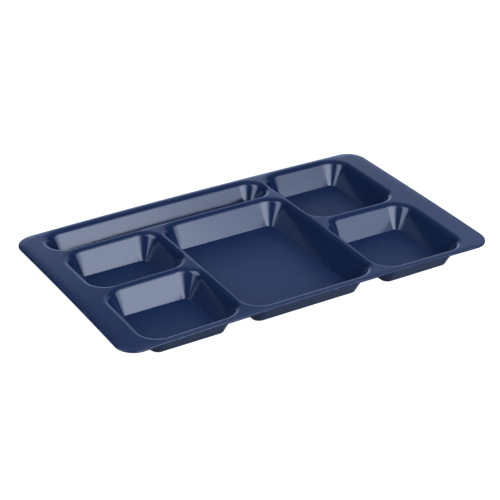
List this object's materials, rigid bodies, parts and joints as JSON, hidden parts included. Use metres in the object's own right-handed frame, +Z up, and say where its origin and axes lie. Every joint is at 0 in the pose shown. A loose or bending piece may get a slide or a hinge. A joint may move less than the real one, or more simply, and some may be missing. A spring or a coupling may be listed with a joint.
{
  "type": "compartment tray",
  "caption": "Flat rectangular food tray moulded in navy plastic, with a wide deck at both ends, sunken compartments with sloping walls and rounded dividers, and a thin rounded edge.",
  "frame": {"origin": "on the plane the tray rests on, under the middle of its outline", "axes": "+X along the length towards the two-well end, +Y to the rear where the cutlery well is, +Z up"},
  "size_m": [0.381, 0.2286, 0.0254],
  "materials": {
    "navy_plastic": "semi-gloss moulded surface with a faint orange peel"
  },
  "bodies": {
    "root": {"main_well": "navy_plastic", "cutlery_well": "navy_plastic", "middle_left_well": "navy_plastic", "front_left_well": "navy_plastic", "rear_right_well": "navy_plastic", "front_right_well": "navy_plastic", "left_rim": "navy_plastic", "right_rim": "navy_plastic", "front_rim": "navy_plastic", "rear_rim": "navy_plastic", "left_divider": "navy_plastic", "right_divider": "navy_plastic", "rear_divider": "navy_plastic", "front_left_divider": "navy_plastic", "front_right_divider": "navy_plastic"}
  },
  "joints": []
}
